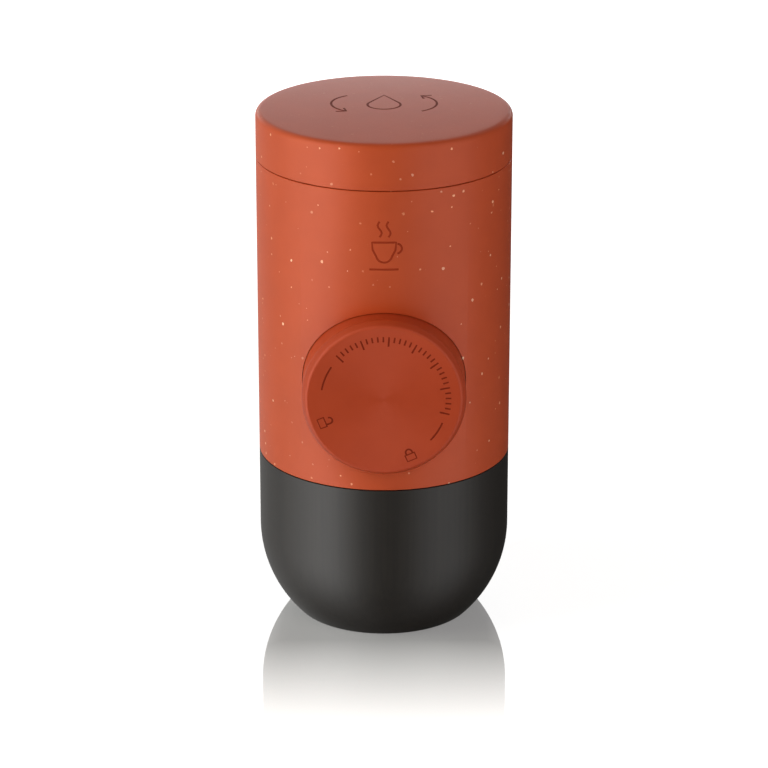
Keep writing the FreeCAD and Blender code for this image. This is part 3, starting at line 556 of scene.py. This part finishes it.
def make_button():
    bore = BUTTON_RADIUS - CAP_WALL
    under = FACE_OUT - CAP_TOP
    rim = BUTTON_RADIUS - CAP_CHAMFER
    shoulder = FACE_OUT - CAP_BEVEL
    button = turned("pump_button", [
        (0, under), (bore, under), (bore, SKIRT_OUT), (BUTTON_RADIUS, SKIRT_OUT),
        (BUTTON_RADIUS, SKIRT_OUT + LUG_LONG), (BUTTON_RADIUS, shoulder - ROUND_ROOM),
        (BUTTON_RADIUS, shoulder), (rim, FACE_OUT),
        (rim - ROUND_ROOM, FACE_OUT - CAP_DISH * ROUND_ROOM / rim), (0, FACE_OUT - CAP_DISH)])
    soften_ring(button, BUTTON_RADIUS, shoulder, SHOULDER_ROUND, 3)
    soften_ring(button, rim, FACE_OUT, FACE_ROUND, 5)

    def on_lug(centre):
        outside = math.hypot(centre.x, centre.y) > BUTTON_RADIUS - NEAR_SIDE
        return outside and abs(centre.x) < LUG_HALF and centre.z < SKIRT_OUT + LUG_LONG

    make_active(button)
    select_faces(button, on_lug)
    bpy.ops.mesh.extrude_region_shrink_fatten(
        TRANSFORM_OT_shrink_fatten={"value": LUG_HIGH})
    bpy.ops.object.mode_set(mode="OBJECT")
    face_front(button)
    smooth(button)
    finish_piece(button, orange_spun, "button", "button_cap")


# Cup: straight wall that turns in as part of a sphere to a flat base.

def make_cup():
    inner = BODY_RADIUS - CUP_WALL
    turn_out = math.degrees(math.asin(CUP_BEND / BODY_RADIUS))
    turn_in = math.degrees(math.asin((CUP_BEND - CUP_FLOOR) / inner))
    outside = arc_points(BODY_RADIUS, -turn_out, 0, CUP_ARC_STEPS, (0, CUP_BEND))
    inside = arc_points(inner, 0, -turn_in, CUP_ARC_STEPS, (0, CUP_BEND))
    base = outside[0][0]
    floor = inside[-1][0]
    rim_support = cup_high.z - 3 * EDGE_ROUND
    cup = turned("storage_cup", [
        (0, 0), (base - BASE_ROOM, 0)] + outside + [
        (BODY_RADIUS, rim_support), (BODY_RADIUS, cup_high.z), (inner, cup_high.z),
        (inner, rim_support)] + inside + [(floor - BASE_ROOM, CUP_FLOOR), (0, CUP_FLOOR)])
    soften_ring(cup, BODY_RADIUS, cup_high.z, EDGE_ROUND, 4)
    soften_ring(cup, inner, cup_high.z, EDGE_ROUND, 4)
    soften_ring(cup, base, 0, BASE_ROUND, 3)
    smooth(cup)
    finish_piece(cup, charcoal, "cup", "espresso_cup")


# Marks: thin raised lines, drawn as paths and pressed on to their surface.

def line_piece(name, paths, width, roundness=2):
    """One mesh of round lines through the points of each path; flat points lie in XY."""
    curve = bpy.data.curves.new(name, "CURVE")
    curve.dimensions = "3D"
    curve.bevel_depth = width / 2
    curve.bevel_resolution = roundness
    curve.use_fill_caps = True
    for points, ring in paths:
        spline = curve.splines.new("POLY")
        spline.points.add(len(points) - 1)
        for index, point in enumerate(points):
            across, up, *out = point
            spline.points[index].co = (across, up, out[0] if out else 0, 1)
        spline.use_cyclic_u = ring
    piece = bpy.data.objects.new(name, curve)
    bpy.context.scene.collection.objects.link(piece)
    make_active(piece)
    bpy.ops.object.convert(target="MESH")
    piece = bpy.context.active_object
    piece.name = name
    bpy.ops.object.mode_set(mode="EDIT")
    bpy.ops.mesh.select_all(action="SELECT")
    bpy.ops.mesh.remove_doubles(threshold=LINE_WELD)
    bpy.ops.mesh.normals_make_consistent(inside=False)
    bpy.ops.object.mode_set(mode="OBJECT")
    return piece


def flatten(piece, thickness):
    """Press the round lines to a low, even thickness."""
    points = [vertex.co.z for vertex in piece.data.vertices]
    tall = max(points) - min(points)
    piece.scale = (1, 1, thickness / tall)
    settle(piece)


MARK_RADIUS = 15.7 * MM
MARK_WIDTH = 0.42 * MM
MARK_THICK = 0.10 * MM
LONG_TICK = 1.25 * MM
SHORT_TICK = 0.7 * MM
TICK_OUT = 1.0 * MM
BODY_SIGN_WIDTH = 0.5 * MM
BODY_SIGN_THICK = 0.2 * MM
BODY_SIGN_HEIGHT = 109.0 * MM
LID_SIGN_WIDTH = 0.6 * MM
TICK_FIRST = 135.0
TICK_LAST = -13.0
TICKS = 31
TICKS_PER_LONG = 5
DASHES = ((146.0, 170.0), (-22.5, -42.5))
OPEN_LOCK_ANGLE = 201.5
SHUT_LOCK_ANGLE = -66.0


def tick_paths():
    paths = []
    for index in range(TICKS):
        angle = math.radians(TICK_FIRST + (TICK_LAST - TICK_FIRST) * index / (TICKS - 1))
        reach = LONG_TICK if index % TICKS_PER_LONG == 0 else SHORT_TICK
        outer = MARK_RADIUS + TICK_OUT
        inner = outer - 2 * reach
        paths.append(([(radius * math.cos(angle), radius * math.sin(angle))
                       for radius in (inner, outer)], False))
    return paths


def dash_paths():
    return [(arc_points(MARK_RADIUS, start, end, 12), False) for start, end in DASHES]


def padlock_paths(angle_degrees, is_open):
    """A padlock outline, upright when its place on the ring is at the bottom."""
    half, tall, shackle, stem = 1.25 * MM, 1.7 * MM, 0.8 * MM, 0.5 * MM
    box = [(-half, -tall), (half, -tall), (half, 0), (-half, 0)]
    lift = 0.55 * MM if is_open else 0.0
    hoop = [(shackle, 0.0), (shackle, stem + lift)]
    hoop += arc_points(shackle, 0, 180, 8, (0, stem + lift))
    hoop += [(-shackle, stem + lift if is_open else 0.0)]
    turn = math.radians(angle_degrees + 90)
    centre = Vector((math.cos(math.radians(angle_degrees)), math.sin(math.radians(angle_degrees))))
    centre *= MARK_RADIUS

    def place(points):
        return [(centre.x + x * math.cos(turn) - y * math.sin(turn),
                 centre.y + x * math.sin(turn) + y * math.cos(turn)) for x, y in points]

    return [(place(box), True), (place(hoop), False)]


def make_button_marks():
    level = FACE_OUT - CAP_DISH * (1 - MARK_RADIUS / (BUTTON_RADIUS - CAP_CHAMFER))
    designs = {
        "scale_ticks": tick_paths(),
        "turn_dashes": dash_paths(),
        "open_padlock": padlock_paths(OPEN_LOCK_ANGLE, True),
        "shut_padlock": padlock_paths(SHUT_LOCK_ANGLE, False),
    }
    for name, paths in designs.items():
        mark = line_piece(name, paths, MARK_WIDTH)
        flatten(mark, MARK_THICK)
        mark.location = (0, 0, level)
        settle(mark)
        face_front(mark)
        smooth(mark)
        finish_piece(mark, mark_and_groove_shade_red, "button")


def level_line(half, height, steps=12):
    """A level line with points enough to follow the body's curve."""
    return [(half * (2 * step / steps - 1), height) for step in range(steps + 1)]


def cup_sign_paths():
    """A small steaming cup in millimetres: bowl, saucer line, handle and two wisps."""
    bowl = level_line(3.0, 1.0) + [(2.8, -1.0)]
    bowl += arc_points(2.0, -10, -170, 8, (0, -2.2))
    bowl += [(-2.8, -1.0)]
    handle = arc_points(1.3, 80, -80, 8, (3.1, -0.6))
    saucer = level_line(3.6, -6.0)
    wisps = []
    for side in (-1.1, 1.1):
        wisps.append([(side + 0.5 * math.sin(step * math.pi / 4), 2.4 + step * 0.5)
                      for step in range(9)])
    shapes = [(bowl, True), (handle, False), (saucer, False)] + [(wisp, False) for wisp in wisps]
    return [([(x * MM, y * MM) for x, y in points], ring) for points, ring in shapes]


def wrap_to_body(sign):
    """Bend a flat front-facing piece round the body, half sunk in its surface."""
    for vertex in sign.data.vertices:
        out = BODY_RADIUS - vertex.co.y
        angle = vertex.co.x / BODY_RADIUS
        vertex.co.x = out * math.sin(angle)
        vertex.co.y = -out * math.cos(angle)


def make_body_sign():
    sign = line_piece("cup_sign", cup_sign_paths(), BODY_SIGN_WIDTH)
    flatten(sign, BODY_SIGN_THICK)
    sign.rotation_euler = (math.radians(90), 0, 0)
    sign.location = (0, 0, BODY_SIGN_HEIGHT)
    settle(sign)
    wrap_to_body(sign)
    smooth(sign)
    finish_piece(sign, mark_orange, "main_body")


def lid_sign_paths():
    """A water drop between two turn arrows, in millimetres."""
    drop = [(0.0, 7.6)] + arc_points(4.2, 30, -210, 22, (0, -1.2))
    paths = [(drop, True)]
    for side in (-1, 1):
        sweep = arc_points(8.4, 58, -58, 18, (5.0, 0))
        head_in = [(sweep[0][0] + 2.7, sweep[0][1] + 0.3), sweep[0],
                   (sweep[0][0] + 0.7, sweep[0][1] - 2.7)]
        paths.append(([(side * x, side * y) for x, y in sweep], False))
        paths.append(([(side * x, side * y) for x, y in head_in], False))
    return [([(x * MM, (y + 4.6) * MM) for x, y in points], ring) for points, ring in paths]


def make_lid_sign():
    sign = line_piece("lid_sign", lid_sign_paths(), LID_SIGN_WIDTH)
    flatten(sign, 2 * LID_SIGN_RISE)
    sign.location = (0, 0, lid_high.z - LID_SIGN_RISE)
    settle(sign)
    smooth(sign)
    # The lid sign's dark red is painted shade, standing for the shadow inside debossed grooves;
    # the lines themselves are raised.
    finish_piece(sign, mark_and_groove_shade_red, "lid")


VALVE_TURNS = 6
STEPS_PER_TURN = 28
VALVE_WIRE = 0.4 * MM


def make_valve_spring(name, node):
    """A wound spring in the place of the node."""
    low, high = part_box(node)
    radius = (high.x - low.x) / 2 - VALVE_WIRE / 2
    start, end = low.z + VALVE_WIRE / 2, high.z - VALVE_WIRE / 2
    steps = VALVE_TURNS * STEPS_PER_TURN
    path = []
    for step in range(steps + 1):
        angle = 2 * math.pi * VALVE_TURNS * step / steps
        path.append((radius * math.cos(angle), radius * math.sin(angle),
                     start + (end - start) * step / steps))
    spring = line_piece(name, [(path, False)], VALVE_WIRE, roundness=4)
    spring.location = (0, (low.y + high.y) / 2, 0)
    settle(spring)
    smooth(spring)
    finish_piece(spring, steel, "main_body", node)
    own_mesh(spring)


make_lid()
make_casing()
make_button()
make_cup()
make_button_marks()
make_body_sign()
make_lid_sign()
make_valve_spring("inlet_valve_spring", "inlet_spring")
make_valve_spring("outlet_valve_spring", "outlet_spring")

CARRIED = {
    black_plastic: ["lid_liner", "button_guide", "pump_housing", "group_head", "portafilter",
                    "button_retainer", "plunger"],
    tank_plastic: ["water_tank"],
    silicone: ["lid_seal", "inlet_seal", "outlet_seal", "group_gasket"],
    black_rubber: ["cup_grip_ring", "plunger_seal"],
    steel: ["intake_strainer", "pump_screws", "foot_screws", "inlet_ball", "outlet_ball",
            "button_screws", "return_spring", "shower_screen", "shower_screw",
            "filter_basket"],
    brass: ["inlet_seat", "outlet_seat"],
}
for material, names in CARRIED.items():
    for name in names:
        dress(nodes[name], material)


# Floor, light and camera.

FLOOR_SIZE = 6.0
FLOOR_WHITE = (0.9, 0.9, 0.9)

# The floor mirrors most within a first square round the axis and nothing outside a second one,
# given by their half sides. Its own glow rises to full white between two distances.
REFLECT_NEAR = 0.0266
REFLECT_FAR = 0.080
REFLECT_MOST = 0.72
FLOOR_GLOW = 0.69
FLOOR_GLOW_SPAN = (0.2, 1.0)


def make_floor():
    """White floor whose mirror image of the cup's foot fades out with distance."""
    clear_selection()
    bpy.ops.mesh.primitive_plane_add(size=FLOOR_SIZE, location=(0, 0, 0))
    floor = bpy.context.active_object
    floor.name = "floor"
    material = bpy.data.materials.new("floor_white")
    material.use_nodes = True
    tree = material.node_tree
    tree.nodes.clear()
    out = add(tree, "ShaderNodeOutputMaterial")
    lit = add(tree, "ShaderNodeBsdfDiffuse")
    lit.inputs["Color"].default_value = (*FLOOR_WHITE, 1)
    glow = add(tree, "ShaderNodeEmission")
    path = add(tree, "ShaderNodeLightPath")
    seen = maths(tree, "MAXIMUM", path.outputs["Is Camera Ray"],
                 path.outputs["Is Transmission Ray"])
    place = add(tree, "ShaderNodeTexCoord")
    distance = add(tree, "ShaderNodeVectorMath", "LENGTH")
    link(tree, place.outputs["Object"], distance.inputs[0])
    level = span(tree, distance.outputs["Value"], *FLOOR_GLOW_SPAN, FLOOR_GLOW, 1.0)
    link(tree, maths(tree, "MULTIPLY", seen, level), glow.inputs["Strength"])
    white = add(tree, "ShaderNodeAddShader")
    link(tree, lit.outputs["BSDF"], white.inputs[0])
    link(tree, glow.outputs["Emission"], white.inputs[1])
    gloss = add(tree, "ShaderNodeBsdfGlossy")
    gloss.inputs["Roughness"].default_value = 0.0
    gloss.inputs["Color"].default_value = (1, 1, 1, 1)
    sides = add(tree, "ShaderNodeVectorMath", "ABSOLUTE")
    link(tree, place.outputs["Object"], sides.inputs[0])
    split = add(tree, "ShaderNodeSeparateXYZ")
    link(tree, sides.outputs["Vector"], split.inputs["Vector"])
    reach = maths(tree, "MAXIMUM", split.outputs["X"], split.outputs["Y"])
    amount = span(tree, reach, REFLECT_NEAR, REFLECT_FAR, REFLECT_MOST, 0.0)
    mirror = shader_mix(tree, amount, white.outputs["Shader"], gloss.outputs["BSDF"])
    clear = add(tree, "ShaderNodeBsdfTransparent")
    surface = shader_mix(tree, path.outputs["Is Glossy Ray"], mirror, clear.outputs["BSDF"])
    link(tree, surface, out.inputs["Surface"])
    dress(floor, material)


# Strengths of the soft light on matt surfaces and of the studio that gloss sees.
AMBIENT = 0.20
AMBIENT_COLOUR = (1, 0.95, 0.93)
STUDIO_LEVEL = 3.0

# Spans on the direction's Z and Y: where the studio fades to STEEP_LEVEL, overhead and below,
# and where the white backdrop begins, behind and above.
STEEP = (0.55, 0.95)
STEEP_LEVEL = 0.4
BEHIND = (0.2, 0.7)
ABOVE = (0.33, 0.76)

# What gloss sees round the object, by the turn from straight behind it, leftwards first:
# a broad white panel on the left, a dim front, a smaller panel and a dark flag on the right.
STUDIO_ROUND = (
    (0.00, 0.13), (0.10, 0.16), (0.20, 0.16), (0.27, 0.50), (0.36, 1.00), (0.43, 0.14),
    (0.50, 0.01), (0.55, 0.02), (0.62, 0.37), (0.70, 0.34), (0.76, 0.04), (0.90, 0.01),
    (1.00, 0.04),
)


def make_world():
    """White to the camera, a soft ambient for matt surfaces, and the studio for gloss."""
    world = bpy.data.worlds.new("studio")
    bpy.context.scene.world = world
    world.use_nodes = True
    world.cycles.sampling_method = "NONE"
    tree = world.node_tree
    tree.nodes.clear()
    out = add(tree, "ShaderNodeOutputWorld")
    path = add(tree, "ShaderNodeLightPath")
    direction = add(tree, "ShaderNodeTexCoord")
    split = add(tree, "ShaderNodeSeparateXYZ")
    link(tree, direction.outputs["Generated"], split.inputs["Vector"])
    forward = maths(tree, "MULTIPLY", split.outputs["Y"], -1.0)
    turn = maths(tree, "ARCTAN2", split.outputs["X"], forward)
    around = add(tree, "ShaderNodeValToRGB")
    around.color_ramp.interpolation = "EASE"
    stops = around.color_ramp.elements
    while len(stops) < len(STUDIO_ROUND):
        stops.new(0.5)
    for stop, (place, level) in zip(stops, STUDIO_ROUND):
        stop.position = place
        stop.color = (level, level, level, 1)
    link(tree, span(tree, turn, -math.pi, math.pi, 0.0, 1.0), around.inputs["Fac"])
    steep = maths(tree, "ABSOLUTE", split.outputs["Z"])
    level = span(tree, steep, *STEEP, STUDIO_LEVEL, STEEP_LEVEL, True)
    panels = maths(tree, "MULTIPLY", around.outputs["Color"], level)
    behind = span(tree, split.outputs["Y"], *BEHIND, 0.0, 1.0, True)
    above = span(tree, split.outputs["Z"], *ABOVE, 0.0, 1.0, True)
    backdrop = maths(tree, "MULTIPLY", behind, above)
    studio = mixed(tree, backdrop, panels, (1.0, 1.0, 1.0))
    direct = maths(tree, "MAXIMUM", path.outputs["Is Camera Ray"],
                   path.outputs["Is Singular Ray"])
    seen = maths(tree, "MAXIMUM", direct, path.outputs["Is Transmission Ray"])
    shine = shader_mix(tree, path.outputs["Is Glossy Ray"],
                       background(tree, AMBIENT_COLOUR, AMBIENT), background(tree, studio, 1.0))
    view = shader_mix(tree, seen, shine, background(tree, (1, 1, 1), 1.0))
    link(tree, view, out.inputs["Surface"])


AIM = Vector((0, 0, 0.07))

# Each softbox: name, azimuth from the camera's side, elevation, distance, width, height,
# radiance and colour.
SOFTBOXES = (
    ("left_softbox", -72, 12, 0.60, 0.30, 0.60, 5.6, (0.98, 1.02, 0.90)),
    ("right_softbox", 28, 12, 0.60, 0.24, 0.60, 3.3, (1.0, 0.89, 0.83)),
    ("back_softbox", 178, 12, 0.70, 0.40, 0.60, 2.2, (1.0, 1.0, 1.0)),
)

# A low white card close behind the object, which brightens the gloss along the back of the lid.
# The camera and matt surfaces don't see it.
CARD_BEHIND = 0.085
CARD_BASE = 0.140
CARD_TOP = 0.152
CARD_WIDE = 0.20
CARD_LEVEL = 2.8


def area_lamp(name, place, turn, wide, tall, radiance):
    clear_selection()
    bpy.ops.object.light_add(type="AREA", location=place)
    lamp = bpy.context.active_object
    lamp.name = name
    lamp.rotation_euler = turn
    lamp.data.shape = "RECTANGLE"
    lamp.data.size = wide
    lamp.data.size_y = tall
    lamp.data.energy = radiance * math.pi * wide * tall
    return lamp


def make_softboxes():
    for name, azimuth, elevation, distance, wide, tall, radiance, colour in SOFTBOXES:
        around, up = math.radians(azimuth), math.radians(elevation)
        away = Vector((math.sin(around) * math.cos(up), -math.cos(around) * math.cos(up),
                       math.sin(up)))
        lamp = area_lamp(name, AIM + away * distance, away.to_track_quat("Z", "Y").to_euler(),
                         wide, tall, radiance)
        lamp.data.color = colour
        lamp.visible_glossy = False


def make_back_card():
    card = area_lamp("back_card", (0, CARD_BEHIND, (CARD_BASE + CARD_TOP) / 2),
                     (math.radians(-90), 0, 0), CARD_WIDE, CARD_TOP - CARD_BASE, CARD_LEVEL)
    card.visible_camera = False
    card.visible_diffuse = False


CAMERA_PLACE = (0.0, -0.8216, 0.3692)
CAMERA_PITCH = 20.58
CAMERA_LENS = 158.35
CAMERA_SENSOR = 36.0


def make_camera():
    camera_data = bpy.data.cameras.new("photo_camera")
    camera_data.lens = CAMERA_LENS
    camera_data.sensor_width = CAMERA_SENSOR
    camera = bpy.data.objects.new("photo_camera", camera_data)
    bpy.context.scene.collection.objects.link(camera)
    camera.location = CAMERA_PLACE
    camera.rotation_euler = (math.radians(90 - CAMERA_PITCH), 0, 0)
    bpy.context.scene.camera = camera


make_floor()
make_world()
make_softboxes()
make_back_card()
make_camera()
bpy.context.scene.view_settings.view_transform = "Standard"

clear_selection()
